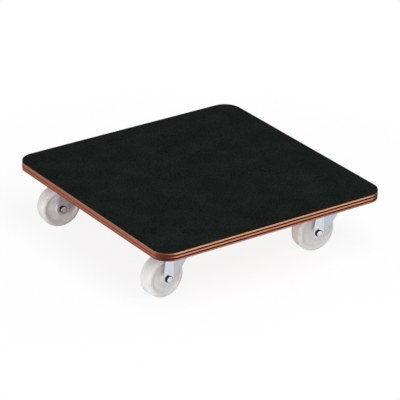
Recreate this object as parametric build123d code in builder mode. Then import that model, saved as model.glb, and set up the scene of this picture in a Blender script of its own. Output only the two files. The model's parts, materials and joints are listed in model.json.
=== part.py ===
"""Platform dolly: a square plywood deck under an anti-slip mat, carried by four swivel plate casters.

Millimetres. The origin is on the floor under the middle of the deck, +Z is up and +X runs along the front edge.
Each caster is drawn once with its swivel axis on Z and its wheel trailing towards -X, then set under each corner.
"""
import os

from build123d import *

# Deck
deck_size = 500.0
deck_corner = 34.0
deck_thickness = 16.0
deck_arris = 1.0
mat_thickness = 2.0
mat_arris = 0.5

# Casters: swivel axis in from the deck's edges, and how far each fork is turned where the dolly was left standing
caster_inset = 78.0
front_left_turn_deg = 3.5
front_right_turn_deg = -3.0
rear_left_turn_deg = -8.5
rear_right_turn_deg = 3.0
corners = {
    "front_left": (-1, -1, front_left_turn_deg),
    "front_right": (1, -1, front_right_turn_deg),
    "rear_left": (-1, 1, rear_left_turn_deg),
    "rear_right": (1, 1, rear_right_turn_deg),
}

# Wheel: solid nylon with a recessed face between the rim and a hub that stands proud
wheel_diameter = 80.0
wheel_width = 30.0
tread_bevel = 4.0
rim_width = 7.0
face_recess = 2.0
recess_draft = 6.0
hub_diameter = 22.0
hub_stand = 3.0

# Fork: one drawn steel sheet, two legs that close on a round nose under a flat crown
fork_sheet = 2.5
hub_side_gap = 1.0
trail = 28.5
eye_radius = 12.0
bend_lead = 10.5
nose_reach = 16.5
nose_round = 17.5
nose_depth = 18.0
rear_land = 15.0
draw_radius = 4.0
crown_clearance = 16.0

# Axle: a tube clamped between the legs by a bolt and a lock nut
axle_tube_diameter = 12.0
axle_bolt_diameter = 8.0
axle_bolt_clearance = 0.15
axle_across_flats = 13.0
axle_head_height = 3.5
lock_nut_height = 8.0
thread_clearance = 0.05
thread_stand = 1.5
wheel_running_clearance = 0.05

# Swivel head
kingpin_diameter = 10.0
kingpin_head_diameter = 18.0
kingpin_head_height = 4.0
kingpin_clearance = 0.1
swivel_play = 0.1
race_diameter = 35.0
race_width = 8.0
race_height = 3.9
thrust_washer_diameter = 24.0
thrust_washer_thickness = 2.5

# Top plate
plate_thickness = 3.0
plate_corner = 8.0
plate_end_margin = 10.0
plate_side_margin = 12.5
screw_spacing_long = 80.0
screw_spacing_short = 60.0

# Hexagon wood screws that hold the plates, their shanks drawn six-sided across the thread's crests
screw_diameter = 6.0
screw_clearance = 0.5
screw_across_flats = 10.0
screw_head_height = 4.0
screw_tip_cover = 3.0

# Heights above the floor
wheel_radius = wheel_diameter / 2
axle_height = wheel_radius
crown_bottom = wheel_diameter + crown_clearance
crown_top = crown_bottom + fork_sheet
race_bottom = crown_top + swivel_play
plate_bottom = race_bottom + race_height
deck_bottom = plate_bottom + plate_thickness
deck_top = deck_bottom + deck_thickness
thrust_washer_top = crown_bottom - swivel_play
thrust_washer_bottom = thrust_washer_top - thrust_washer_thickness
kingpin_bottom = thrust_washer_bottom - kingpin_head_height
fork_bottom = axle_height - eye_radius
nose_bottom = crown_bottom - nose_depth

# Places along the caster's own X axis, from the swivel axis
axle_x = -trail
bend_x = axle_x + bend_lead
nose_x = axle_x + wheel_radius + nose_reach
crown_rear_x = -race_diameter / 2 - rear_land
leg_rear_x = axle_x - eye_radius - draw_radius - fork_sheet

# Half widths along the axle
wheel_half = wheel_width / 2
hub_half = wheel_half + hub_stand
fork_inner_half = hub_half + hub_side_gap
fork_half = fork_inner_half + fork_sheet

# The plates are screwed up into the deck from below
pivot = deck_size / 2 - caster_inset
plate_length = screw_spacing_long + 2 * plate_end_margin
plate_width = screw_spacing_short + 2 * plate_side_margin
screw_tip = deck_top - screw_tip_cover
screw_points = [
    (side_x * pivot + along, side_y * pivot + across)
    for side_x, side_y, turn in corners.values()
    for along in (-screw_spacing_long / 2, screw_spacing_long / 2)
    for across in (-screw_spacing_short / 2, screw_spacing_short / 2)
]
axle_hole_radius = axle_bolt_diameter / 2 + axle_bolt_clearance

# The axle's plane: its origin is the wheel's centre and its normal points out of the near leg, towards -Y
axle_plane = Plane(origin=(axle_x, 0, axle_height), x_dir=(1, 0, 0), z_dir=(0, -1, 0))
axle_axis = Axis((axle_x, 0, axle_height), (0, 1, 0))


# Deck board, with pilot holes for the screws
with BuildPart() as deck_board:
    with BuildSketch(Plane.XY.offset(deck_bottom)):
        RectangleRounded(deck_size, deck_size, deck_corner)
    extrude(amount=deck_thickness)
    chamfer(deck_board.faces().sort_by(Axis.Z)[0].edges(), deck_arris)
    with BuildSketch(Plane.XY.offset(deck_bottom)):
        with Locations(*screw_points):
            RegularPolygon(screw_diameter / 2, 6)
    extrude(amount=screw_tip - deck_bottom, mode=Mode.SUBTRACT)

# Anti-slip mat, trimmed flush with the board
with BuildPart() as deck_mat:
    with BuildSketch(Plane.XY.offset(deck_top)):
        RectangleRounded(deck_size, deck_size, deck_corner)
    extrude(amount=mat_thickness)
    chamfer(deck_mat.faces().sort_by(Axis.Z)[-1].edges(), mat_arris)

# Screws that hold the caster plates
with BuildPart() as caster_screws:
    with BuildSketch(Plane.XY.offset(plate_bottom)):
        with Locations(*screw_points):
            RegularPolygon(screw_across_flats / 2, 6, major_radius=False)
    extrude(amount=-screw_head_height)
    with BuildSketch(Plane.XY.offset(plate_bottom)):
        with Locations(*screw_points):
            RegularPolygon(screw_diameter / 2, 6)
    extrude(amount=screw_tip - plate_bottom)

# Top plate, with holes for its screws and for the kingpin that is riveted flush into it
with BuildPart() as top_plate:
    with BuildSketch(Plane.XY.offset(plate_bottom)):
        RectangleRounded(plate_length, plate_width, plate_corner)
        with GridLocations(screw_spacing_long, screw_spacing_short, 2, 2):
            RegularPolygon(screw_diameter / 2 + screw_clearance, 6, mode=Mode.SUBTRACT)
        Circle(kingpin_diameter / 2, mode=Mode.SUBTRACT)
    extrude(amount=plate_thickness)

# Closed ball race between the plate and the fork's crown
with BuildPart() as ball_race:
    with BuildSketch(Plane.XY.offset(race_bottom)):
        Circle(race_diameter / 2)
        Circle(race_diameter / 2 - race_width, mode=Mode.SUBTRACT)
    extrude(amount=race_height)

# Fork: the drawn block seen from above, hollowed to its sheet, then trimmed to the legs' side outline
with BuildPart() as fork:
    with BuildSketch(Plane.XY.offset(fork_bottom)) as fork_plan:
        with Locations((leg_rear_x, 0)):
            Rectangle(bend_x - leg_rear_x, 2 * fork_half, align=(Align.MIN, Align.CENTER))
        with Locations((nose_x - nose_round, 0)):
            Circle(nose_round)
        make_hull()
    extrude(amount=crown_top - fork_bottom)
    fillet(fork.faces().sort_by(Axis.Z)[-1].edges(), draw_radius)
    with BuildSketch(Plane.XY.offset(fork_bottom)):
        add(fork_plan.sketch_local)
        offset(amount=-fork_sheet, mode=Mode.REPLACE)
    extrude(amount=crown_bottom - fork_bottom, mode=Mode.SUBTRACT)
    with BuildSketch(Plane.XZ):
        with Locations((axle_x, axle_height)):
            Circle(eye_radius)
        with Locations((crown_rear_x, nose_bottom)):
            Rectangle(nose_x - crown_rear_x, crown_top - nose_bottom, align=(Align.MIN, Align.MIN))
        make_hull()
    extrude(amount=fork_half, both=True, mode=Mode.INTERSECT)
    with BuildSketch(Plane.XY.offset(crown_top)):
        Circle(kingpin_diameter / 2 + kingpin_clearance)
    extrude(amount=-fork_sheet, mode=Mode.SUBTRACT)
    with BuildSketch(axle_plane):
        Circle(axle_hole_radius)
    extrude(amount=fork_half, both=True, mode=Mode.SUBTRACT)

# Thrust washer under the crown
with BuildPart() as thrust_washer:
    with BuildSketch(Plane.XY.offset(thrust_washer_bottom)):
        Circle(thrust_washer_diameter / 2)
        Circle(kingpin_diameter / 2, mode=Mode.SUBTRACT)
    extrude(amount=thrust_washer_thickness)

# Kingpin: a flat head below the thrust washer, its shank flush with the plate's top
with BuildPart() as kingpin:
    with BuildSketch(Plane.XY.offset(kingpin_bottom)):
        Circle(kingpin_head_diameter / 2)
    extrude(amount=kingpin_head_height)
    with BuildSketch(Plane.XY.offset(thrust_washer_bottom)):
        Circle(kingpin_diameter / 2)
    extrude(amount=deck_bottom - thrust_washer_bottom)

# Axle tube that the wheel turns on
with BuildPart() as axle_tube:
    with BuildSketch(axle_plane):
        Circle(axle_tube_diameter / 2)
        Circle(axle_hole_radius, mode=Mode.SUBTRACT)
    extrude(amount=fork_inner_half, both=True)

# Axle bolt, its head on the near leg
with BuildPart() as axle_bolt:
    with BuildSketch(axle_plane.offset(fork_half)):
        RegularPolygon(axle_across_flats / 2, 6, major_radius=False)
    extrude(amount=axle_head_height)
    with BuildSketch(axle_plane.offset(fork_half)):
        Circle(axle_bolt_diameter / 2)
    extrude(amount=-2 * fork_half - lock_nut_height - thread_stand)

# Lock nut on the far leg
with BuildPart() as axle_nut:
    with BuildSketch(axle_plane.offset(-fork_half)):
        RegularPolygon(axle_across_flats / 2, 6, major_radius=False)
        Circle(axle_bolt_diameter / 2 + thread_clearance, mode=Mode.SUBTRACT)
    extrude(amount=-lock_nut_height)

# Wheel, turned about the axle
with BuildPart() as wheel:
    with BuildSketch(Plane.XY.move(Location((axle_x, 0, axle_height)))) as wheel_section:
        with BuildLine():
            Polyline(
                (axle_tube_diameter / 2 + wheel_running_clearance, 0),
                (axle_tube_diameter / 2 + wheel_running_clearance, hub_half),
                (hub_diameter / 2, hub_half),
                (hub_diameter / 2, wheel_half - face_recess),
                (wheel_radius - rim_width - recess_draft, wheel_half - face_recess),
                (wheel_radius - rim_width, wheel_half),
                (wheel_radius, wheel_half),
                (wheel_radius, 0),
            )
            mirror(about=Plane.XZ)
        make_face()
        tread_corners = wheel_section.vertices().group_by(Axis.X)[-1].sort_by(Axis.Y)
        chamfer([tread_corners[0], tread_corners[-1]], tread_bevel)
    revolve(axis=axle_axis)

# Write the deck's own pieces, then each caster's pieces at its corner
os.makedirs("parts", exist_ok=True)

deck_pieces = {
    "deck_board": deck_board.part,
    "deck_mat": deck_mat.part,
    "caster_screws": caster_screws.part,
}
caster_pieces = {
    "top_plate": top_plate.part,
    "ball_race": ball_race.part,
    "fork": fork.part,
    "thrust_washer": thrust_washer.part,
    "kingpin": kingpin.part,
    "axle_tube": axle_tube.part,
    "axle_bolt": axle_bolt.part,
    "axle_nut": axle_nut.part,
    "wheel": wheel.part,
}
swivelling = ("fork", "axle_tube", "axle_bolt", "axle_nut", "wheel")

for name, piece in deck_pieces.items():
    piece.label = name
    export_step(piece, f"parts/{name}.step")

for corner, (side_x, side_y, turn) in corners.items():
    for name, piece in caster_pieces.items():
        angle = turn if name in swivelling else 0
        placed = piece.moved(Location((side_x * pivot, side_y * pivot, 0), (0, 0, angle)))
        placed.label = f"{corner}_{name}"
        export_step(placed, f"parts/{corner}_{name}.step")
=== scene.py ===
# %% [markdown]
# # Platform dolly
# A square plywood deck under a black anti-slip mat rolls on four swivel casters with white nylon wheels.
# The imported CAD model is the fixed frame. Its nodes could be shown as they are, but their edges are bare
# and their faces plain. So every visible piece below either finishes a CAD node or is a finer surface that
# takes its place and rides on the same body, which keeps the joints working.

# %% Load the frame
import json
import math

import bmesh
import bpy
import numpy as np
from mathutils import Matrix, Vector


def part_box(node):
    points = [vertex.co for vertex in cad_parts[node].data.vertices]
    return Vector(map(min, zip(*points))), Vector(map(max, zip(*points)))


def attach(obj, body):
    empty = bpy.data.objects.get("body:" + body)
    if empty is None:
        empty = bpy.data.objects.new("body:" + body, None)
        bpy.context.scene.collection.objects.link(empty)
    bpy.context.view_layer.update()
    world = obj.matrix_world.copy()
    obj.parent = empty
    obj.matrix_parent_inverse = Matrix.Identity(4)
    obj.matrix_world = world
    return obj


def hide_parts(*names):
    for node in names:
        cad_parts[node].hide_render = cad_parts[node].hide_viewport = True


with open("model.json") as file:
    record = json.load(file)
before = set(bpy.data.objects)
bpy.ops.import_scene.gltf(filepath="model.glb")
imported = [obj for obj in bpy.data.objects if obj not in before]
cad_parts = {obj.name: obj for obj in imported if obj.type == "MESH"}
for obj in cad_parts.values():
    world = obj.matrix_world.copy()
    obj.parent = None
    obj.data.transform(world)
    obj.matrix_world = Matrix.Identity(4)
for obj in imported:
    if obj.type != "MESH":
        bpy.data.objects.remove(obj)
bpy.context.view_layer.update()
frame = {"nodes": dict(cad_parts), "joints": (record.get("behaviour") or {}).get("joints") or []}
nodes = frame["nodes"]
joints = {joint["name"]: joint for joint in frame["joints"]}
corners = ("front_left", "front_right", "rear_left", "rear_right")
scene = bpy.context.scene
mm = 0.001
up = np.array([0.0, 0.0, 1.0])

# %% [markdown]
# ## The camera
# A long lens looks down at the dolly from its front left corner, a little tilted. A camera could be aimed
# by hand or with a Track To constraint. Here its direction, roll, distance and aim are known as numbers, so
# its three axes are worked out from them and set as one matrix, which can be changed line by line.

# %% Where the camera stands
camera_azimuth = math.radians(-35.336)
camera_elevation = math.radians(25.349)
camera_roll = math.radians(1.061)
camera_distance = 4.8702
aim_right = 3.15 * mm
aim_up = -47.63 * mm


def node_box(node):
    """A CAD node's box, as its lowest and its highest corner."""
    low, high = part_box(node)
    return np.array(low), np.array(high)


board_low, board_high = node_box("deck_board")
backward = np.array([
    math.sin(camera_azimuth) * math.cos(camera_elevation),
    -math.cos(camera_azimuth) * math.cos(camera_elevation),
    math.sin(camera_elevation),
])
level_right = np.array([math.cos(camera_azimuth), math.sin(camera_azimuth), 0.0])
level_up = np.cross(backward, level_right)
view_right = math.cos(camera_roll) * level_right + math.sin(camera_roll) * level_up
view_up = np.cross(backward, view_right)
camera_aim = board_high[2] * up + aim_right * view_right + aim_up * view_up
camera_place = camera_aim + camera_distance * backward
print("camera at", camera_place.round(3))

# %% Camera
focal_length_mm = 232.9
sensor_width_mm = 36.0
view_depth = 100.0


def pose_matrix(right, upward, backward, place):
    """A matrix with an object's axes and place as columns. Cameras and lamps look against the third."""
    pose = np.eye(4)
    pose[:3] = np.column_stack([right, upward, backward, place])
    return Matrix(pose.tolist())


camera = bpy.data.objects.new("camera", bpy.data.cameras.new("camera"))
scene.collection.objects.link(camera)
camera.data.sensor_width = sensor_width_mm
camera.data.lens = focal_length_mm
camera.data.clip_end = view_depth
camera.matrix_world = pose_matrix(view_right, view_up, backward, camera_place)
scene.camera = camera
print("camera: a lens of", focal_length_mm, "mm")

# %% [markdown]
# ## Surfaces from arrays
# The dolly's pieces are cut, moulded or turned, so each has a plain section that is carried round an
# outline or an axis. They could be made from Blender's primitives and edited by hand. A grid of points
# worked out with numpy is used instead, because its sizes can come straight from the frame. One helper
# joins the grid's neighbours into faces, and another closes the mesh.

# %% Grid faces
def grid_faces(rows, columns, wrap_rows, wrap_columns):
    """Each face joins a grid point with its next neighbours along both directions, wrapping where asked."""
    row, column = np.meshgrid(
        np.arange(rows if wrap_rows else rows - 1),
        np.arange(columns if wrap_columns else columns - 1),
        indexing="ij",
    )
    next_row = (row + 1) % rows
    next_column = (column + 1) % columns
    loop = (
        row * columns + column,
        next_row * columns + column,
        next_row * columns + next_column,
        row * columns + next_column,
    )
    return np.stack(loop, axis=-1).reshape(-1, 4)


print("an open grid of 3 by 4 points has", len(grid_faces(3, 4, False, False)), "faces")

# %% Closed pieces
weld_distance = 0.002 * mm
sliver_length = 0.0001 * mm
crease_angle = math.radians(35)


def shade_smooth(piece):
    """Marks every face as smooth."""
    piece.data.polygons.foreach_set("use_smooth", np.ones(len(piece.data.polygons), dtype=bool))


def new_piece(name, points, faces):
    """A mesh object from arrays of points and faces. Points that coincide are merged, faces without area
    are dropped, the rest are turned outwards, and shading is smooth below the crease angle."""
    mesh = bpy.data.meshes.new(name)
    mesh.from_pydata(points.reshape(-1, 3).tolist(), [], faces.tolist())
    work = bmesh.new()
    work.from_mesh(mesh)
    bmesh.ops.remove_doubles(work, verts=work.verts, dist=weld_distance)
    bmesh.ops.dissolve_degenerate(work, dist=sliver_length, edges=work.edges)
    bmesh.ops.recalc_face_normals(work, faces=work.faces)
    work.to_mesh(mesh)
    work.free()
    piece = bpy.data.objects.new(name, mesh)
    scene.collection.objects.link(piece)
    shade_smooth(piece)
    mesh.set_sharp_from_angle(angle=crease_angle)
    return piece


print("creases over", round(math.degrees(crease_angle)), "degrees stay sharp")

# %% [markdown]
# ## Slabs
# The board, the mat and the caster plates are cut from sheet: square or oblong, with round corners and
# edges that are slightly broken. A scaled cube with a Bevel modifier would come close, but it rounds all
# edges alike. Here an edge profile is carried round the outline, so that each edge has its own round and
# catches the light.

# %% Rounded profiles
def rounded(points, radii, steps=6):
    """A polyline whose corners become arcs: an arc touches both runs at radius / tan(half the corner's
    angle) from the corner, and its points are blended from its two end spokes by sines."""
    points = np.asarray(points, dtype=float)
    pieces = []
    for before, corner, after, radius in zip(np.roll(points, 1, 0), points, np.roll(points, -1, 0), radii):
        if radius == 0:
            pieces.append(corner[None])
            continue
        run_in = (before - corner) / np.linalg.norm(before - corner)
        run_out = (after - corner) / np.linalg.norm(after - corner)
        half = math.acos(np.clip(run_in @ run_out, -1, 1)) / 2
        middle = (run_in + run_out) / np.linalg.norm(run_in + run_out)
        centre = corner + middle * radius / math.sin(half)
        start = corner + run_in * radius / math.tan(half) - centre
        end = corner + run_out * radius / math.tan(half) - centre
        sweep = math.pi - 2 * half
        share = np.linspace(0, 1, steps)[:, None]
        spoke = np.sin((1 - share) * sweep) * start + np.sin(share * sweep) * end
        pieces.append(centre + spoke / math.sin(sweep))
    return np.concatenate(pieces)


unit_square = [(0, 0), (1, 0), (1, 1), (0, 1)]
print("a square with rounded corners has", len(rounded(unit_square, [0.2] * 4)), "points")

# %% Slabs
def edge_profile(corner, low, high, low_round, high_round, steps=6):
    """A sheet's edge as (inset, height) points, from the lower face round to the upper one. Both ends stop
    one millimetre short of the corner arcs' centres, so that the rings there are still open."""
    inset = corner - mm
    return rounded([(inset, low), (0, low), (0, high), (inset, high)], [0, low_round, high_round, 0], steps)


def slab(name, half_x, half_y, corner, profile, corner_steps, middle=(0.0, 0.0)):
    """A plate with round corners. The outline's corner arcs have fixed centres, and a profile point (inset,
    height) shrinks their radius by inset. The end rings are drawn to the middle to close both faces."""
    quarter = np.linspace(0, math.pi / 2, corner_steps)
    angle = np.concatenate([quarter + turn * math.pi / 2 for turn in range(4)])
    turn = np.repeat(np.arange(4), corner_steps)
    side_x = np.array([1, -1, -1, 1])[turn] * (half_x - corner)
    side_y = np.array([1, 1, -1, -1])[turn] * (half_y - corner)
    inset, height = np.asarray(profile).T
    radius = corner - inset[None, :]
    x = side_x[:, None] + radius * np.cos(angle)[:, None] + middle[0]
    y = side_y[:, None] + radius * np.sin(angle)[:, None] + middle[1]
    rings = np.stack([x, y, np.broadcast_to(height, x.shape)], axis=-1)
    start = np.broadcast_to([*middle, height[0]], (len(angle), 1, 3))
    end = np.broadcast_to([*middle, height[-1]], (len(angle), 1, 3))
    points = np.concatenate([start, rings, end], axis=1)
    return new_piece(name, points, grid_faces(*points.shape[:2], True, False))


print("a slab's edge with two rounds has", len(edge_profile(8 * mm, 0, 3 * mm, mm, mm)), "points")

# %% [markdown]
# ## Finishes from nodes
# Wood, rubber, zinc and nylon all have patterns: grain, mottling, clouds, turning rings. Pictures could
# carry them, but they need files and blur from near by. The finishes here are shader nodes instead. They
# read the object's own coordinates or a number kept on its vertices, so a pattern stays on its piece when a
# joint moves. Colours are written as they look on screen and then made linear.

# %% Colours and nodes
def shade(red, green, blue):
    """A screen colour, 0 to 255, as linear light: ((c + 0.055) / 1.055) ** 2.4, or c / 12.92 when dark."""
    screen = np.array([red, green, blue]) / 255
    light = np.where(screen > 0.04045, ((screen + 0.055) / 1.055) ** 2.4, screen / 12.92)
    return (*light.tolist(), 1.0)


def new_material(name):
    """An empty finish: the material, its node tree and its main shader."""
    material = bpy.data.materials.new(name)
    material.use_nodes = True
    return material, material.node_tree, material.node_tree.nodes["Principled BSDF"]


def connect(tree, node, sockets):
    """Sets each socket, by name or number, or wires it where the value is another node's output."""
    for key, value in sockets.items():
        if isinstance(value, bpy.types.NodeSocket):
            tree.links.new(value, node.inputs[key])
        else:
            node.inputs[key].default_value = value


def add(tree, kind, sockets=None, **settings):
    """Adds a shader node, sets its properties and then its sockets."""
    node = tree.nodes.new("ShaderNode" + kind)
    for key, value in settings.items():
        setattr(node, key, value)
    connect(tree, node, sockets or {})
    return node


white = shade(255, 255, 255)
print("a screen grey of 128 is", round(shade(128, 128, 128)[0], 3), "in linear light")

# %% Places and numbers
def object_place(tree):
    """The object's own coordinates, in metres."""
    return add(tree, "TexCoord").outputs["Object"]


def vertex_number(tree, name):
    """The number that the piece keeps on its vertices under a name."""
    return add(tree, "Attribute", attribute_name=name).outputs["Fac"]


def math_node(tree, operation, first, second=0.0):
    """One sum on two numbers or sockets."""
    return add(tree, "Math", {0: first, 1: second}, operation=operation).outputs[0]


def spread(tree, value, low, high, start=0.0, end=1.0, **settings):
    """A value carried from the range start to end onto the range low to high, and held at both ends."""
    ranges = {"From Min": start, "From Max": end, "To Min": low, "To Max": high}
    return add(tree, "MapRange", {"Value": value, **ranges}, **settings).outputs["Result"]


print("sources: object coordinates, vertex numbers, sums and ranges")

# %% Patterns and relief
def noise(tree, vector, scale=1.0, detail=4.0, roughness=0.55):
    """Fractal noise, about 0.5 on average. Scale counts its waves in a metre."""
    sockets = {"Vector": vector, "Scale": scale, "Detail": detail, "Roughness": roughness}
    return add(tree, "TexNoise", sockets).outputs["Fac"]


def stretched(tree, vector, scale):
    """Coordinates times a factor on each axis, so that a pattern is drawn out where the factor is small."""
    return add(tree, "Mapping", {"Vector": vector, "Scale": scale}).outputs["Vector"]


def ramp(tree, factor, stops):
    """A colour ramp from (position, colour) pairs."""
    node = add(tree, "ValToRGB", {"Fac": factor})
    while len(node.color_ramp.elements) < len(stops):
        node.color_ramp.elements.new(0.5)
    for element, (position, colour) in zip(node.color_ramp.elements, stops):
        element.position = position
        element.color = colour
    return node.outputs["Color"]


def blend(tree, first, second, share, mode="MIX"):
    """Two colours, the second laid over the first by its share. Of the node's sockets for each kind of
    value, the colours are inputs 6 and 7 and output 2."""
    sockets = {0: share, 6: first, 7: second}
    return add(tree, "Mix", sockets, data_type="RGBA", blend_type=mode).outputs[2]


def bump(tree, shader, height, strength, distance):
    """Relief on the shader's normal, from a height pattern."""
    relief = add(tree, "Bump", {"Height": height, "Strength": strength, "Distance": distance})
    connect(tree, shader, {"Normal": relief.outputs["Normal"]})


print("patterns: noise, stretch, ramp, blend and bump")

# %% [markdown]
# ## The board
# The board is five-ply wood with bare sanded edges. Plies lie crosswise, so each side shows long grain,
# pale and streaky, and end grain, dark and porous, in turn, and where one side has a pale ply the next side
# has a dark one. Each ply could be a slab of its own, but plies are glued into one solid, so the board is
# one slab and its bands are colours by height. Two numbers on the vertices steer them: how far the edge
# faces the front or back, and the run along the outline.

# %% Bands of plies
ply_count = 5
ply_thickness = 3.15 * mm
ply_blend = 0.07
front_plies = (
    shade(226, 176, 142), shade(66, 8, 0), shade(212, 150, 122), shade(78, 14, 0), shade(198, 138, 110),
)
side_plies = (
    shade(160, 117, 99), shade(174, 109, 82), shade(136, 73, 50), shade(168, 107, 87), shade(132, 84, 70),
)


def ply_bands(tree, level, plies):
    """Even bands from the top ply at level 1 down to the bottom ply at 0. Each keeps its colour except for
    a short share at both ends, where it blends into the next."""
    stops = []
    for layer, colour in enumerate(reversed(plies)):
        stops.append(((layer + ply_blend) / ply_count, colour))
        stops.append(((layer + 1 - ply_blend) / ply_count, colour))
    return ramp(tree, level, stops)


print("plies:", ply_count, "of", round(ply_thickness / mm, 2), "mm")

# %% Plywood edge finish
ply_waver = 0.25 * mm
streak_stretch = (60.0, 1.0, 1400.0)
streak_share = 0.8
pore_stretch = (1500.0, 1.0, 300.0)
pore_share = 0.7
# Painted shade: these tones darken the board's edge round its corners.
painted_corner_shade = (
    (0.0, white), (0.12, shade(194, 168, 166)), (0.4, shade(152, 127, 126)),
    (0.62, shade(152, 127, 128)), (0.9, shade(198, 162, 166)), (1.0, white),
)


def plywood_edge_finish():
    """Bands by height, chosen by the way the edge faces, and darkened round the corners by painted shade.
    Streaks run along the grain, and pores are short and upright."""
    material, tree, shader = new_material("plywood_edge")
    facing = vertex_number(tree, "faces_front")
    height = add(tree, "SeparateXYZ", {"Vector": object_place(tree)}).outputs["Z"]
    run = {"X": vertex_number(tree, "edge_run"), "Y": 0.0, "Z": height}
    along = add(tree, "CombineXYZ", run).outputs["Vector"]
    waver = spread(tree, noise(tree, along, scale=45.0, detail=2.0), -ply_waver, ply_waver)
    wavy_height = math_node(tree, "ADD", height, waver)
    ply_foot = board_high[2] - ply_count * ply_thickness
    level = spread(tree, wavy_height, 0.0, 1.0, start=ply_foot, end=board_high[2])
    bands = blend(tree, ply_bands(tree, level, side_plies), ply_bands(tree, level, front_plies), facing)
    # painted shade darkens the bands round the corners
    corner_shaded = blend(tree, bands, ramp(tree, facing, painted_corner_shade), 1.0, "MULTIPLY")
    streaks = noise(tree, stretched(tree, along, streak_stretch), detail=5.0, roughness=0.6)
    streak_tone = ramp(tree, streaks, [(0.3, shade(214, 208, 204)), (0.7, white)])
    streaked = blend(tree, corner_shaded, streak_tone, streak_share, "MULTIPLY")
    pores = noise(tree, stretched(tree, along, pore_stretch), detail=3.0, roughness=0.6)
    pore_tone = ramp(tree, pores, [(0.34, shade(176, 160, 150)), (0.5, white)])
    grained = blend(tree, streaked, pore_tone, pore_share, "MULTIPLY")
    connect(tree, shader, {"Base Color": grained, "Roughness": 0.72, "Specular IOR Level": 0.04})
    bump(tree, shader, streaks, strength=0.25, distance=0.3 * mm)
    return material


plywood_edge = plywood_edge_finish()
print("plywood edge:", len(plywood_edge.node_tree.nodes), "nodes")

# %% [markdown]
# The board's flat faces are peeled veneer, whose growth rings show as a long figure with fine fibres in it.
# A picture of wood would have to be tiled. Noise that is stretched along the grain never repeats, and it
# needs only two scales: a wide one for the figure and a narrow one for the fibres.

# %% Veneer finish
figure_stretch = (1.6, 14.0, 1.0)
fibre_stretch = (12.0, 700.0, 1.0)
fibre_share = 0.8
figure_tones = (
    (0.30, shade(178, 108, 64)), (0.48, shade(214, 146, 96)),
    (0.62, shade(198, 128, 82)), (0.75, shade(222, 158, 108)),
)


def veneer_finish():
    """The board's flat faces: wood whose rings show as long stretched figures along the front edge."""
    material, tree, shader = new_material("plywood_veneer")
    place = object_place(tree)
    figure = noise(tree, stretched(tree, place, figure_stretch), scale=3.0, detail=6.0)
    fibre = noise(tree, stretched(tree, place, fibre_stretch), roughness=0.6)
    fibre_tone = ramp(tree, fibre, [(0.3, shade(212, 202, 196)), (0.65, white)])
    grained = blend(tree, ramp(tree, figure, figure_tones), fibre_tone, fibre_share, "MULTIPLY")
    connect(tree, shader, {"Base Color": grained, "Roughness": 0.58, "Specular IOR Level": 0.3})
    bump(tree, shader, fibre, strength=0.2, distance=0.3 * mm)
    return material


plywood_veneer = veneer_finish()
print("veneer:", len(plywood_veneer.node_tree.nodes), "nodes")

# %% [markdown]
# A new surface has to take over a CAD node's work. It could be parented to the node by hand.

# %% Fitting out a piece
def vertex_array(piece):
    """The piece's vertices as one array of x, y, z rows."""
    flat = np.empty(3 * len(piece.data.vertices))
    piece.data.vertices.foreach_get("co", flat)
    return flat.reshape(-1, 3)


def face_normals(piece):
    """The way each face points, as one array of x, y, z rows."""
    flat = np.empty(3 * len(piece.data.polygons))
    piece.data.polygons.foreach_get("normal", flat)
    return flat.reshape(-1, 3)


def paint(piece, attribute, values):
    """Keeps one number per vertex under a name that the piece's material can read."""
    layer = piece.data.attributes.new(attribute, "FLOAT", "POINT")
    layer.data.foreach_set("value", np.asarray(values, dtype=np.float32))


def fit_out(piece, body, material, node):
    """Gives the piece its finish, sets it on its body and lets it stand for a CAD node."""
    piece.data.materials.append(material)
    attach(piece, body)
    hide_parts(node)


def second_finish(piece, material, chosen):
    """Gives the chosen faces a second finish, by their material number."""
    piece.data.materials.append(material)
    piece.data.polygons.foreach_set("material_index", chosen.astype(np.int32))


print("the board's CAD node has", len(vertex_array(nodes["deck_board"])), "points")

# %% Board
deck_half = board_high[0]
deck_corner = 34 * mm
deck_corner_steps = 24
board_arris = 1 * mm
level_face = 0.9
least_square = 1e-12


def outline_facing(points):
    """How far each point's edge faces the front or back: 1 on those straight sides, 0 on the left and right
    ones, and in a corner the square of the sine of the corner's angle."""
    past_x = np.maximum(np.abs(points[:, 0]) - (deck_half - deck_corner), 0)
    past_y = np.maximum(np.abs(points[:, 1]) - (deck_half - deck_corner), 0)
    return past_y ** 2 / np.maximum(past_x ** 2 + past_y ** 2, least_square)


board_edge = edge_profile(deck_corner, board_low[2], board_high[2], board_arris, 0)
board = slab("board", deck_half, deck_half, deck_corner, board_edge, deck_corner_steps)
board_points = vertex_array(board)
paint(board, "faces_front", outline_facing(board_points))
paint(board, "edge_run", board_points[:, 0] + board_points[:, 1])
fit_out(board, "deck", plywood_edge, "deck_board")
flat_faces = np.abs(face_normals(board)[:, 2]) > level_face
second_finish(board, plywood_veneer, flat_faces)
print("board:", len(board.data.polygons), "faces,", int(flat_faces.sum()), "on its flat sides")

# %% [markdown]
# ## The mat
# The mat is a thin sheet of black rubber, trimmed flush with the board. Its grip comes from small pebbles
# pressed into the sheet. They could be modelled or displaced, but they are about a millimetre wide and
# would need millions of faces, so they are relief in the finish. The tone is mottled in patches a few
# millimetres wide and drifts in slow clouds, as rubber does that is rolled from mixed stock.

# %% Rubber finish
patch_share = 0.45
pebble_shading_share = 0.5


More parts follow.
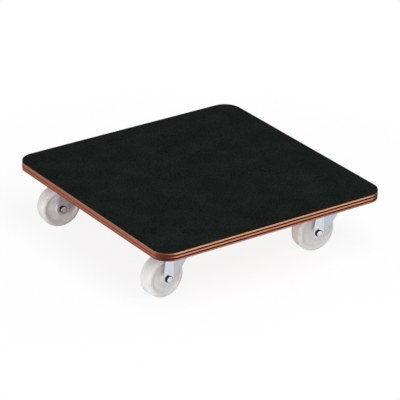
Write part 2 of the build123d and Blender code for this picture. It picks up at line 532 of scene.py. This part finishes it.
def rubber_finish():
    """Near-black rubber with pebbles a little over a millimetre wide, mottled patches and faint clouds. A
    pebble is highest at its middle: one minus the smoothed distance from the nearest scattered point. The
    tone is painted lighter on the pebbles' tops and darker in the hollows between them: painted light and
    shade."""
    material, tree, shader = new_material("pebbled_rubber")
    place = object_place(tree)
    clouds = noise(tree, place, scale=22.0, detail=5.0, roughness=0.6)
    patches = noise(tree, place, scale=210.0, roughness=0.65)
    scatter = add(tree, "TexVoronoi", {"Vector": place, "Scale": 620.0}, feature="SMOOTH_F1")
    pebbles = math_node(tree, "SUBTRACT", 1.0, scatter.outputs["Distance"])
    mottle = blend(tree, clouds, patches, patch_share)
    # painted light and shade: lighter on the pebbles' tops, darker in the hollows between them
    pattern = blend(tree, mottle, pebbles, pebble_shading_share)
    tone = ramp(tree, pattern, [(0.47, shade(9, 14, 12)), (0.70, shade(38, 43, 41))])
    dull = spread(tree, clouds, low=0.78, high=0.95)
    connect(tree, shader, {"Base Color": tone, "Roughness": dull, "Specular IOR Level": 0.02})
    bump(tree, shader, pebbles, strength=0.6, distance=0.4 * mm)
    return material


pebbled_rubber = rubber_finish()
print("rubber:", len(pebbled_rubber.node_tree.nodes), "nodes")

# %% Mat
mat_low, mat_high = node_box("deck_mat")
mat_round = 0.7 * mm
mat_edge = edge_profile(deck_corner, mat_low[2], mat_high[2], 0, mat_round)
mat = slab("mat", deck_half, deck_half, deck_corner, mat_edge, deck_corner_steps)
fit_out(mat, "deck", pebbled_rubber, "deck_mat")
print("mat:", len(mat.data.polygons), "faces, thickness", round((mat_high - mat_low)[2] / mm, 2), "mm")

# %% [markdown]
# ## Zinc and steel
# The forks, plates and fasteners are zinc-plated steel: a bright, slightly blue metal with a cloudy,
# faintly crystalline sheen. The races, washers and pins are bare ground steel, which is greyer. Each metal
# could have a finish of its own, but they differ only in tint and dullness, so one function makes them all.

# %% Metal finishes
crystal_share = 0.3
dark_patch = np.array([-10, -9, -6])
bright_patch = np.array([6, 5, 3])


def metal_finish(name, tint, dull_low, dull_high):
    """A metal whose tint and dullness drift with clouds and with small crystal patches."""
    material, tree, shader = new_material(name)
    place = object_place(tree)
    clouds = noise(tree, place, scale=90.0, roughness=0.6)
    crystals = add(tree, "TexVoronoi", {"Vector": place, "Scale": 420.0}).outputs["Distance"]
    patch = blend(tree, clouds, crystals, crystal_share)
    tone = ramp(tree, patch, [(0.25, shade(*(tint + dark_patch))), (0.7, shade(*(tint + bright_patch)))])
    dull = spread(tree, patch, low=dull_low, high=dull_high)
    connect(tree, shader, {"Base Color": tone, "Roughness": dull, "Metallic": 1.0})
    bump(tree, shader, clouds, strength=0.06, distance=0.2 * mm)
    return material


fork_zinc = metal_finish("fork_zinc", (220, 225, 236), 0.14, 0.28)
# painted shade: the drawn parts' darker tint stands in for shade, while their higher dullness is real
drawn_zinc_painted_shade = metal_finish("drawn_zinc_painted_shade", (198, 205, 216), 0.24, 0.4)
plate_zinc = metal_finish("plate_zinc", (220, 224, 232), 0.28, 0.44)
fastener_zinc = metal_finish("fastener_zinc", (226, 229, 233), 0.2, 0.36)
ground_steel = metal_finish("ground_steel", (178, 178, 180), 0.2, 0.38)
metals = (fork_zinc, drawn_zinc_painted_shade, plate_zinc, fastener_zinc, ground_steel)
print("metals:", [metal.name for metal in metals])

# %% [markdown]
# ## The wheels
# Each wheel is one moulding of natural nylon: a broad tread with soft shoulders, a shallow dished face
# between rim and hub, and a hub that stands proud on both sides. A plain white would look like paint. Nylon
# lets a little light in and keeps faint bands from the way it flowed in the mould, so the finish scatters
# light under the surface, and its bands follow the wheel's radius.

# %% Nylon finish
flow_drift = 8 * mm
flow_slice = 0.07
band_share = 0.5
scatter_depth = (3 * mm, 3 * mm, 2.5 * mm)
wheel_ring_pitch = 0.6 * mm
wheel_ring_share = 0.25


def turning_rings(tree, radius, pitch):
    """Fine rings as a lathe leaves them: the sine of the radius, with one wave to each pitch."""
    return math_node(tree, "SINE", math_node(tree, "MULTIPLY", radius, 2 * math.pi / pitch))


def nylon_finish():
    """Milky nylon with faint clouds, flow bands, a satin grain and turning rings. Bands and rings follow
    the radius that is kept on the vertices. A band is noise whose place is the radius, carried off a little
    by the clouds."""
    material, tree, shader = new_material("milky_nylon")
    place = object_place(tree)
    radius = vertex_number(tree, "wheel_radius")
    clouds = noise(tree, place, scale=60.0, roughness=0.6)
    drift = math_node(tree, "MULTIPLY", clouds, flow_drift)
    flow = {"X": math_node(tree, "ADD", radius, drift), "Y": drift, "Z": flow_slice}
    flow_place = add(tree, "CombineXYZ", flow).outputs["Vector"]
    bands = noise(tree, flow_place, scale=420.0, detail=3.0, roughness=0.6)
    milk = blend(tree, clouds, bands, band_share)
    tone = ramp(tree, milk, [(0.36, shade(212, 212, 212)), (0.64, shade(236, 236, 235))])
    dull = spread(tree, clouds, low=0.34, high=0.52)
    connect(tree, shader, {"Base Color": tone, "Roughness": dull, "Subsurface Weight": 0.25})
    connect(tree, shader, {"Subsurface Radius": scatter_depth, "Subsurface Scale": 1.0})
    rings = math_node(tree, "MULTIPLY", turning_rings(tree, radius, wheel_ring_pitch), wheel_ring_share)
    satin = noise(tree, place, scale=1600.0, detail=3.0, roughness=0.6)
    bump(tree, shader, math_node(tree, "ADD", satin, rings), strength=0.12, distance=0.08 * mm)
    return material


nylon = nylon_finish()
print("nylon:", len(nylon.node_tree.nodes), "nodes")

# %% [markdown]
# A wheel is round about its axle, so its shape is one section carried round an axis. A Screw modifier on a
# drawn outline would do the same. The section is turned with arrays here, because the wheel's axis is a
# little askew in the frame and the joint gives it exactly. The radius, the bore and the hub's width are
# measured on the CAD node.

# %% Turned pieces
rightward = np.array([1.0, 0.0, 0.0])
nearly_upright = 0.9


def spokes(axis, steps):
    """Unit vectors round an axis: cosine of the angle times one side plus sine times the other side."""
    helper = up if abs(axis[2]) < nearly_upright else rightward
    side = np.cross(helper, axis)
    side /= np.linalg.norm(side)
    other = np.cross(axis, side)
    angle = np.linspace(0, 2 * math.pi, steps, endpoint=False)
    return np.cos(angle)[:, None] * side + np.sin(angle)[:, None] * other


def lathe(profile, steps=96, closed=False):
    """A turned form on the z axis: a profile point (radius, height) becomes radius * spoke + height * up
    for every spoke. A closed profile makes a ring, an open one ends on the axis. Gives points and faces."""
    radius, height = np.asarray(profile).T
    ring = spokes(up, steps)
    points = radius[None, :, None] * ring[:, None, :] + height[None, :, None] * up
    return points.reshape(-1, 3), grid_faces(steps, len(radius), True, closed)


def set_along(points, centre, axis):
    """Points drawn about the z axis carried to an axis: x and y go to two sides of it, and z along it."""
    side = spokes(axis, 1)[0]
    other = np.cross(axis, side)
    return centre + points[:, :1] * side + points[:, 1:2] * other + points[:, 2:] * axis


def turned(name, profile, centre, axis, steps=96, closed=False):
    """A turned piece: the lathe's form carried to its place along an axis."""
    points, faces = lathe(profile, steps, closed)
    return new_piece(name, set_along(points, centre, axis), faces)


print("two of four spokes round the z axis:", spokes(up, 4)[:2].round(3).tolist())

# %% Measures about an axis
def spin_axis(corner):
    """A wheel's axis from its joint: the middle of the axle and the way it points."""
    spin = joints[corner + "_spin"]
    return np.array(spin["pos_m"]), np.array(spin["axis"])


def off_axis(points, centre, axis):
    """Every point's distance from an axis: the length of its offset without the part along the axis."""
    offset = points - centre
    return np.linalg.norm(offset - np.outer(offset @ axis, axis), axis=1)


def sizes_about(node, centre, axis):
    """A CAD node's sizes about an axis: the lowest and highest dot product of its offsets with the axis,
    and its least and greatest distance from it."""
    points = vertex_array(nodes[node])
    along = (points - centre) @ axis
    distance = off_axis(points, centre, axis)
    return along.min(), along.max(), distance.min(), distance.max()


wheel_sizes = np.array(sizes_about("front_left_wheel", *spin_axis("front_left")))
print("front left wheel, reach and radii in mm:", (wheel_sizes / mm).round(2))

# %% Wheels
tread_half = 15 * mm
rim_width = 7 * mm
face_recess = 2 * mm
recess_draft = 6 * mm
hub_radius = 11 * mm
bore_round = 0.6 * mm
hub_round = 1.2 * mm
hub_foot_round = 2 * mm
dish_round = 5 * mm
rim_round = 3 * mm
tread_round = 6.4 * mm
wheel_steps = 128


def wheel_section(radius, hub_half, bore):
    """The wheel's cross-section as (radius, height) points, on one side and then mirrored."""
    dish = tread_half - face_recess
    rim = radius - rim_width
    side = [
        (bore, hub_half), (hub_radius, hub_half), (hub_radius, dish),
        (rim - recess_draft, dish), (rim, tread_half), (radius, tread_half),
    ]
    rounds = [bore_round, hub_round, hub_foot_round, dish_round, rim_round, tread_round]
    mirrored = [(x, -y) for x, y in reversed(side)]
    return rounded(side + mirrored, rounds + rounds[::-1], steps=8)


for corner in corners:
    centre, axle = spin_axis(corner)
    _, hub_half, bore, radius = sizes_about(corner + "_wheel", centre, axle)
    section = wheel_section(radius, hub_half, bore)
    wheel = turned(corner + "_nylon_wheel", section, centre, axle, wheel_steps, closed=True)
    paint(wheel, "wheel_radius", off_axis(vertex_array(wheel), centre, axle))
    fit_out(wheel, corner + "_roller", nylon, corner + "_wheel")
print("wheels: radius", round(radius / mm, 2), "mm,", len(wheel.data.polygons), "faces each")

# %% [markdown]
# ## The forks
# A fork is one drawn sheet with two legs, webs, a round nose and a flat crown. It could be remade as a
# grid, but the CAD node already has its true shape, so a copy of it is finished instead: its triangles are
# merged, the flat areas joined, the bends between legs and webs rounded and the cut edges broken by a fine
# bevel. Drawing stretches the sheet, so the webs, nose and crown come out duller than the flat legs. Their
# tint is also painted darker than the legs', as painted shade.

# %% Copies of CAD nodes
triangle_weld = 0.005 * mm
flat_tolerance = math.radians(0.6)
flat_area = 300 * mm * mm
least_bend = 0.05
most_bend = 0.5
bend_round = 1.5 * mm
bend_segments = 3
sheet_edge = 0.4 * mm
edge_segments = 2
edge_angle = math.radians(40)


def is_bend(line):
    """Whether two large flat areas meet here at a shallow angle, in radians."""
    areas = [face.calc_area() for face in line.link_faces]
    return min(areas) > flat_area and least_bend < line.calc_face_angle() < most_bend


def finished_copy(node, name):
    """A merged copy of a CAD node with rounded bends between its flat areas and fine bevels on its sharp
    edges. The shading of each rounded edge is weighted by its faces' areas, so that the flats stay flat."""
    piece = bpy.data.objects.new(name, nodes[node].data.copy())
    piece.data.materials.clear()
    scene.collection.objects.link(piece)
    work = bmesh.new()
    work.from_mesh(piece.data)
    bmesh.ops.remove_doubles(work, verts=work.verts, dist=triangle_weld)
    bmesh.ops.dissolve_limit(work, angle_limit=flat_tolerance, verts=work.verts, edges=work.edges)
    bmesh.ops.recalc_face_normals(work, faces=work.faces)
    bends = [line for line in work.edges if is_bend(line)]
    bmesh.ops.bevel(
        work, geom=bends, offset=bend_round, segments=bend_segments, profile=0.5, affect="EDGES")
    work.to_mesh(piece.data)
    work.free()
    shade_smooth(piece)
    bevel = piece.modifiers.new("edge", "BEVEL")
    bevel.width = sheet_edge
    bevel.segments = edge_segments
    bevel.limit_method = "ANGLE"
    bevel.angle_limit = edge_angle
    piece.modifiers.new("even_shading", "WEIGHTED_NORMAL").keep_sharp = True
    return piece


print("cut edges are broken by", round(sheet_edge / mm, 2), "mm")

# %% Forks
leg_facing = 0.995
for corner in corners:
    fork = finished_copy(corner + "_fork", corner + "_drawn_fork")
    fit_out(fork, corner + "_caster", fork_zinc, corner + "_fork")
    along_axle = np.abs(face_normals(fork) @ spin_axis(corner)[1])
    # the webs, nose and crown take the duller zinc, whose darker tint is painted shade
    second_finish(fork, drawn_zinc_painted_shade, along_axle < leg_facing)
print("forks:", len(fork.data.polygons), "faces each before the bevel")

# %% [markdown]
# ## Axle bolts and nuts
# A hexagon head is a round of flats whose top is turned off by a shallow cone, which leaves curved bevels
# on the corners. The lock nut has a round collar over its insert, and the bolt's end shows a few threads
# beyond it. A cylinder with six sides, cut by a cone with a Boolean modifier, would give a head, but its
# mesh is hard to shade. Here each piece is one closed surface: rings in a row, whose radius may change
# round the ring, as flats and threads need.

# %% Rings in a row
ring_steps = 72
ring_angle = np.linspace(0, 2 * math.pi, ring_steps, endpoint=False)[:, None]


def plain_rings(profile):
    """Round rings: one radius and height at all angles. A row per angle and a column per ring."""
    radius, height = np.asarray(profile, dtype=float).T
    return np.tile(radius, (ring_steps, 1)), np.tile(height, (ring_steps, 1))


def ring_form(*rings, closed=False):
    """Rings in a row as one surface: each point is its ring's radius times the cosine and sine of the
    angle, at its ring's height. A closed row makes a ring, an open one ends on the axis."""
    radius = np.concatenate([ring[0] for ring in rings], axis=1)
    height = np.concatenate([ring[1] for ring in rings], axis=1)
    points = np.stack([radius * np.cos(ring_angle), radius * np.sin(ring_angle), height], axis=-1)
    return points.reshape(-1, 3), grid_faces(ring_steps, radius.shape[1], True, closed)


print("rings of", ring_steps, "points")

# %% Flats and threads
sixth_turn = math.pi / 3
head_cone = math.tan(math.radians(30))
face_share = 0.9
cone_shares = np.array([0.0, 0.08, 0.25, 0.5, 0.75, 1.0, 1.0])
rings_per_pitch = 12


def hexagon_rings(across, height, foot=0.0):
    """A hexagon from the rim of its flat face down to its foot. The flats are at half the width over the
    cosine of the angle folded into a sixth of a turn. Outside the face the top falls as the cone does."""
    fold = (ring_angle + sixth_turn / 2) % sixth_turn - sixth_turn / 2
    flat = across / 2 / np.cos(fold)
    face = face_share * across / 2
    radius = face + (flat - face) * cone_shares
    top = height - head_cone * (radius - face)
    top[:, -1] = foot
    return radius, top


def thread_rings(radius, start, end, pitch, depth):
    """A screw thread: the radius falls from crest to root by depth times the triangle wave of height over
    pitch minus the angle's share of a turn."""
    rows = int(abs(end - start) / pitch * rings_per_pitch) + 2
    height = np.linspace(start, end, rows)[None, :]
    wave = np.abs(2 * ((height / pitch - ring_angle / (2 * math.pi)) % 1) - 1)
    return radius - depth * wave, np.broadcast_to(height, wave.shape)


print("corners stand", round(1 / math.cos(sixth_turn / 2), 3), "times as far out as flats")

# %% [markdown]
# The bolts' heads are near black on their flats and sides and bright on their turned faces. Two pieces
# could show this, but it is one bolt, so a number on its vertices marks the face and blends the two
# finishes.

# %% Axle bolt finish
bolt_ring_pitch = 0.45 * mm


def axle_bolt_finish():
    """Black and bright metal, blended by the number that marks the turned face, with turning rings."""
    material, tree, shader = new_material("axle_bolt")
    clouds = noise(tree, object_place(tree), scale=300.0, roughness=0.6)
    black = ramp(tree, clouds, [(0.3, shade(16, 16, 18)), (0.7, shade(36, 36, 38))])
    bright = ramp(tree, clouds, [(0.3, shade(214, 217, 220)), (0.7, shade(230, 232, 234))])
    tone = blend(tree, black, bright, vertex_number(tree, "bright_face"))
    dull = spread(tree, clouds, low=0.22, high=0.42)
    connect(tree, shader, {"Base Color": tone, "Roughness": dull, "Metallic": 1.0})
    rings = turning_rings(tree, vertex_number(tree, "turning_radius"), bolt_ring_pitch)
    bump(tree, shader, rings, strength=0.08, distance=0.05 * mm)
    return material


axle_bolt_steel = axle_bolt_finish()
print("axle bolt:", len(axle_bolt_steel.node_tree.nodes), "nodes")

# %% Axle bolts
head_across = 13 * mm
head_face = face_share * head_across / 2
bolt_radius = 4 * mm
thread_pitch = 1.25 * mm
thread_depth = 0.6 * mm
face_depth = 0.8
face_margin = 1.005


def outer_leg(corner):
    """How far the outer faces of a fork's legs are from the middle of the axle."""
    return sizes_about(corner + "_fork", *spin_axis(corner))[1]


for corner in corners:
    centre, axle = spin_axis(corner)
    leg = outer_leg(corner)
    bolt_low, bolt_high = sizes_about(corner + "_axle_bolt", centre, axle)[:2]
    head_height = -bolt_low - leg
    bolt_end = -leg - bolt_high
    points, faces = ring_form(
        plain_rings([(0, head_height), (head_face / 2, head_height)]),
        hexagon_rings(head_across, head_height),
        plain_rings([(bolt_radius, 0), (bolt_radius, -2 * leg)]),
        thread_rings(bolt_radius, -2 * leg, bolt_end, thread_pitch, thread_depth),
        plain_rings([(0, bolt_end)]),
    )
    bolt = new_piece(corner + "_bolt", set_along(points, centre - leg * axle, -axle), faces)
    lift = (centre - vertex_array(bolt)) @ axle - leg
    turning = off_axis(vertex_array(bolt), centre, axle)
    on_face = (lift > face_depth * head_height) & (turning < face_margin * head_face)
    paint(bolt, "bright_face", on_face)
    paint(bolt, "turning_radius", turning)
    fit_out(bolt, corner + "_caster", axle_bolt_steel, corner + "_axle_bolt")
print("bolts: heads", round(head_height / mm, 2), "mm high,", len(bolt.data.polygons), "faces each")

# %% Axle nuts
collar_height = 2 * mm
collar_radius = 5.6 * mm
collar_round = 0.9 * mm

for corner in corners:
    centre, axle = spin_axis(corner)
    leg = outer_leg(corner)
    nut_height = sizes_about(corner + "_axle_nut", centre, axle)[1] - leg
    collar_foot = nut_height - collar_height
    flats, flat_heights = hexagon_rings(head_across, collar_foot)
    collar = rounded(
        [(collar_radius, collar_foot), (collar_radius, nut_height), (bolt_radius, nut_height)],
        [0, collar_round, 0],
    )
    points, faces = ring_form(
        plain_rings([(bolt_radius, 0)]),
        (flats[:, ::-1], flat_heights[:, ::-1]),
        plain_rings(collar),
        closed=True,
    )
    nut = new_piece(corner + "_nut", set_along(points, centre + leg * axle, axle), faces)
    fit_out(nut, corner + "_caster", fastener_zinc, corner + "_axle_nut")
print("nuts:", round(nut_height / mm, 2), "mm high,", len(nut.data.polygons), "faces each")

# %% [markdown]
# ## The swivel heads
# Under the deck each caster has a plate, a ball race, and a kingpin with a washer that holds the fork's
# crown. They are nearly hidden, and copies of the CAD nodes with a Bevel modifier would do for most. But
# slabs and turned rings are at hand and give each edge its own round, so these pieces are made as the board
# and the wheels are.

# %% Top plates
plate_corner = 8 * mm
plate_corner_steps = 10
plate_round = 0.5 * mm


def swivel_foot(corner):
    """The point on the floor below a caster's swivel axis."""
    x, y, _ = joints[corner + "_swivel"]["pos_m"]
    return np.array([x, y, 0.0])


for corner in corners:
    low, high = node_box(corner + "_top_plate")
    half_x, half_y = (high - low)[:2] / 2
    edge = edge_profile(plate_corner, low[2], high[2], plate_round, plate_round, steps=4)
    middle = swivel_foot(corner)[:2]
    plate = slab(corner + "_plate", half_x, half_y, plate_corner, edge, plate_corner_steps, middle)
    fit_out(plate, "deck", plate_zinc, corner + "_top_plate")
print("plates:", round(2 * half_x / mm, 1), "by", round(2 * half_y / mm, 1), "mm")

# %% [markdown]
# The race is a ring with a lip, and its balls show under the lip. An Array modifier round an empty could
# set the balls out. One ball, a turned half circle, is copied with arrays instead: all its copies and the
# ring become one mesh in two sums.

# %% Many parts in one mesh
def joined(*parts):
    """Several (points, faces) pairs as one: each part's faces are numbered on from the parts before it."""
    points = np.concatenate([part[0] for part in parts])
    starts = np.cumsum([0] + [len(part[0]) for part in parts[:-1]])
    return points, np.concatenate([part[1] + start for part, start in zip(parts, starts)])


def repeated(part, places):
    """One (points, faces) pair copied to many places at once: every place is added to all its points."""
    points, faces = part
    all_points = points[None] + places[:, None, :]
    all_faces = faces[None] + (np.arange(len(places)) * len(points))[:, None, None]
    return all_points.reshape(-1, 3), all_faces.reshape(-1, faces.shape[1])


ball_radius = 1.6 * mm
ball_rings = 9
ball_steps = 14
latitude = np.linspace(-math.pi / 2, math.pi / 2, ball_rings)
ball = lathe(ball_radius * np.column_stack([np.cos(latitude), np.sin(latitude)]), ball_steps)
print("one ball:", len(ball[1]), "faces")

# %% Ball races
ball_count = 27
race_lip = 0.7 * mm
race_round = 0.3 * mm
groove_depth = 1.6 * ball_radius

for corner in corners:
    foot = swivel_foot(corner)
    bottom, top, inner, outer = sizes_about(corner + "_ball_race", foot, up)
    groove = outer - groove_depth
    lip_foot = top - race_lip
    section = [
        (inner, bottom), (groove, bottom), (groove, lip_foot),
        (outer, lip_foot), (outer, top), (inner, top),
    ]
    ring = lathe(rounded(section, [race_round] * len(section), steps=4), closed=True)
    ball_places = (outer - ball_radius) * spokes(up, ball_count) + (bottom + ball_radius) * up
    points, faces = joined(ring, repeated(ball, ball_places))
    race = new_piece(corner + "_race", points + foot, faces)
    fit_out(race, "deck", ground_steel, corner + "_ball_race")
print("races: outer radius", round(outer / mm, 2), "mm,", ball_count, "balls each")

# %% [markdown]
# A pressed washer holds the fork's crown from below, and the kingpin, a thick rivet, holds the whole head
# together. Cylinders with bevels would be close to both. A turned section is as short to write and keeps
# the rivet's round head and the washer's softer lower edge.

# %% Thrust washers
washer_low_round = 0.8 * mm
washer_high_round = 0.3 * mm

for corner in corners:
    foot = swivel_foot(corner)
    bottom, top, inner, outer = sizes_about(corner + "_thrust_washer", foot, up)
    section = [(inner, bottom), (outer, bottom), (outer, top), (inner, top)]
    profile = rounded(section, [0, washer_low_round, washer_high_round, 0], steps=4)
    washer = turned(corner + "_washer", profile, foot, up, closed=True)
    fit_out(washer, "deck", ground_steel, corner + "_thrust_washer")
print("washers:", round((top - bottom) / mm, 2), "mm thick")

# %% Kingpins
pin_radius = 5 * mm
pin_head_round = 2 * mm
pin_rim_round = 0.2 * mm

for corner in corners:
    foot = swivel_foot(corner)
    bottom, top, _, head = sizes_about(corner + "_kingpin", foot, up)
    neck = sizes_about(corner + "_thrust_washer", foot, up)[0]
    section = [(0, bottom), (head, bottom), (head, neck), (pin_radius, neck), (pin_radius, top), (0, top)]
    profile = rounded(section, [0, pin_head_round, pin_rim_round, 0, 0, 0])
    kingpin = turned(corner + "_pin", profile, foot, up)
    fit_out(kingpin, "deck", ground_steel, corner + "_kingpin")
print("kingpins:", round((top - bottom) / mm, 2), "mm long")

# %% [markdown]
# ## Screws and axle tubes
# Four hexagon screws hold each plate. Each could be an object of its own, but they all ride on the deck and
# stand for one CAD node, so one head with a pressed flange is copied to every place as the balls are. The
# axle tubes are almost hidden, so they keep their CAD shape and only get a steel finish.

# %% Screw head
screw_across = 10 * mm
screw_face = face_share * screw_across / 2
flange_radius = 6.2 * mm
flange_height = 0.9 * mm
flange_round = 0.4 * mm
plate_low = node_box("front_left_top_plate")[0][2]
screw_height = plate_low - node_box("caster_screws")[0][2]

flange = rounded(
    [(screw_face, flange_height), (flange_radius, flange_height), (flange_radius, 0)],
    [0, flange_round, 0],
)
screw_points, screw_faces = ring_form(
    plain_rings([(0, screw_height), (screw_face / 2, screw_height)]),
    hexagon_rings(screw_across, screw_height, flange_height),
    plain_rings(flange[1:]),
    plain_rings([(0, 0)]),
)
print("a screw head:", len(screw_faces), "faces,", round(screw_height / mm, 2), "mm high")

# %% Screws and tubes
screw_spacing = np.array([80 * mm, 60 * mm])
hanging = np.array([1, 1, -1])
plate_signs = np.array([(-1, -1), (-1, 1), (1, -1), (1, 1)])

feet = np.array([swivel_foot(corner)[:2] for corner in corners])
screw_places = (feet[:, None] + plate_signs * screw_spacing / 2).reshape(-1, 2)
screw_feet = np.column_stack([screw_places, np.full(len(screw_places), plate_low)])
screws = new_piece("plate_screws", *repeated((screw_points * hanging, screw_faces), screw_feet))
fit_out(screws, "deck", fastener_zinc, "caster_screws")

for corner in corners:
    tube = nodes[corner + "_axle_tube"]
    tube.data.materials.clear()
    tube.data.materials.append(ground_steel)
print("screws:", len(screw_feet), "heads")

# %% [markdown]
# ## Floor and light
# The dolly stands on a plain pale floor under soft studio light: a white surround, one large lamp overhead,
# one high in front, and a low one at the left that reaches under the deck. A floor lit to pure white would
# need so much light that the nylon burns out. Instead, rays straight from the camera see a nearly white
# floor, which takes the dolly's shadow near by and fades to plain white farther off, and a share of that
# white shows in the metal too.

# %% Rays and surround
def seen_white(tree, to_camera, to_gloss):
    """One share of white for rays from the camera, another for rays off gloss or through glass, and none
    for the rays that carry diffuse light."""
    path = add(tree, "LightPath").outputs
    gloss = math_node(tree, "MAXIMUM", path["Is Glossy Ray"], path["Is Transmission Ray"])
    for_camera = math_node(tree, "MULTIPLY", path["Is Camera Ray"], to_camera)
    for_gloss = math_node(tree, "MULTIPLY", gloss, to_gloss)
    return math_node(tree, "MAXIMUM", for_camera, for_gloss)


surround_level = 0.4
world = bpy.data.worlds.new("studio")
scene.world = world
world.use_nodes = True
sky_tree = world.node_tree
sky_level = spread(sky_tree, seen_white(sky_tree, 1.0, 1.0), surround_level, 1.0)
connect(sky_tree, sky_tree.nodes["Background"], {"Color": white, "Strength": sky_level})
print("surround:", surround_level, "of white")

# %% Floor
floor_half = 12.0
floor_grey = (0.95, 0.95, 0.95, 1.0)
white_near = 0.88
fade_start = 0.40
fade_end = 0.80
white_in_gloss = 0.08

floor_corners = np.array([(-1, -1, 0), (1, -1, 0), (1, 1, 0), (-1, 1, 0)]) * floor_half
floor_mesh = bpy.data.meshes.new("floor")
floor_mesh.from_pydata(floor_corners.tolist(), [], [(0, 1, 2, 3)])
floor = bpy.data.objects.new("floor", floor_mesh)
scene.collection.objects.link(floor)

floor_finish, floor_tree, floor_shader = new_material("floor")
connect(floor_tree, floor_shader, {"Base Color": floor_grey, "Roughness": 0.9, "Specular IOR Level": 0.0})
glow = add(floor_tree, "Emission", {"Color": white, "Strength": 1.0})
length = add(floor_tree, "VectorMath", {0: object_place(floor_tree)}, operation="LENGTH")
fade = spread(
    floor_tree, length.outputs["Value"], low=white_near, high=1.0,
    start=fade_start, end=fade_end, interpolation_type="SMOOTHSTEP")
white_share = seen_white(floor_tree, fade, white_in_gloss)
floor_mix = add(
    floor_tree, "MixShader", {"Fac": white_share, 1: floor_shader.outputs[0], 2: glow.outputs[0]})
connect(floor_tree, floor_tree.nodes["Material Output"], {"Surface": floor_mix.outputs[0]})
floor.data.materials.append(floor_finish)
print("floor:", 2 * floor_half, "m wide, plain white from", fade_end, "m out")

# %% Lamps
lamp_target = 0.06 * up


def softbox(name, place, size, power):
    """A square lamp that faces the dolly."""
    lamp = bpy.data.lights.new(name, "AREA")
    lamp.size = size
    lamp.energy = power
    box = bpy.data.objects.new(name, lamp)
    scene.collection.objects.link(box)
    toward = lamp_target - place
    right = np.cross(toward, up)
    right /= np.linalg.norm(right)
    out = -toward / np.linalg.norm(toward)
    box.matrix_world = pose_matrix(right, np.cross(out, right), out, place)
    return box


lamps = [
    softbox("left_lamp", place=(-3.0, -0.9, 0.4), size=0.8, power=38.0),
    softbox("front_lamp", place=(0.2, -2.1, 2.3), size=1.4, power=28.0),
    softbox("top_lamp", place=(0.0, -0.9, 2.9), size=1.6, power=30.0),
]
scene.view_settings.view_transform = "Standard"
print("lamps:", [lamp.name for lamp in lamps])
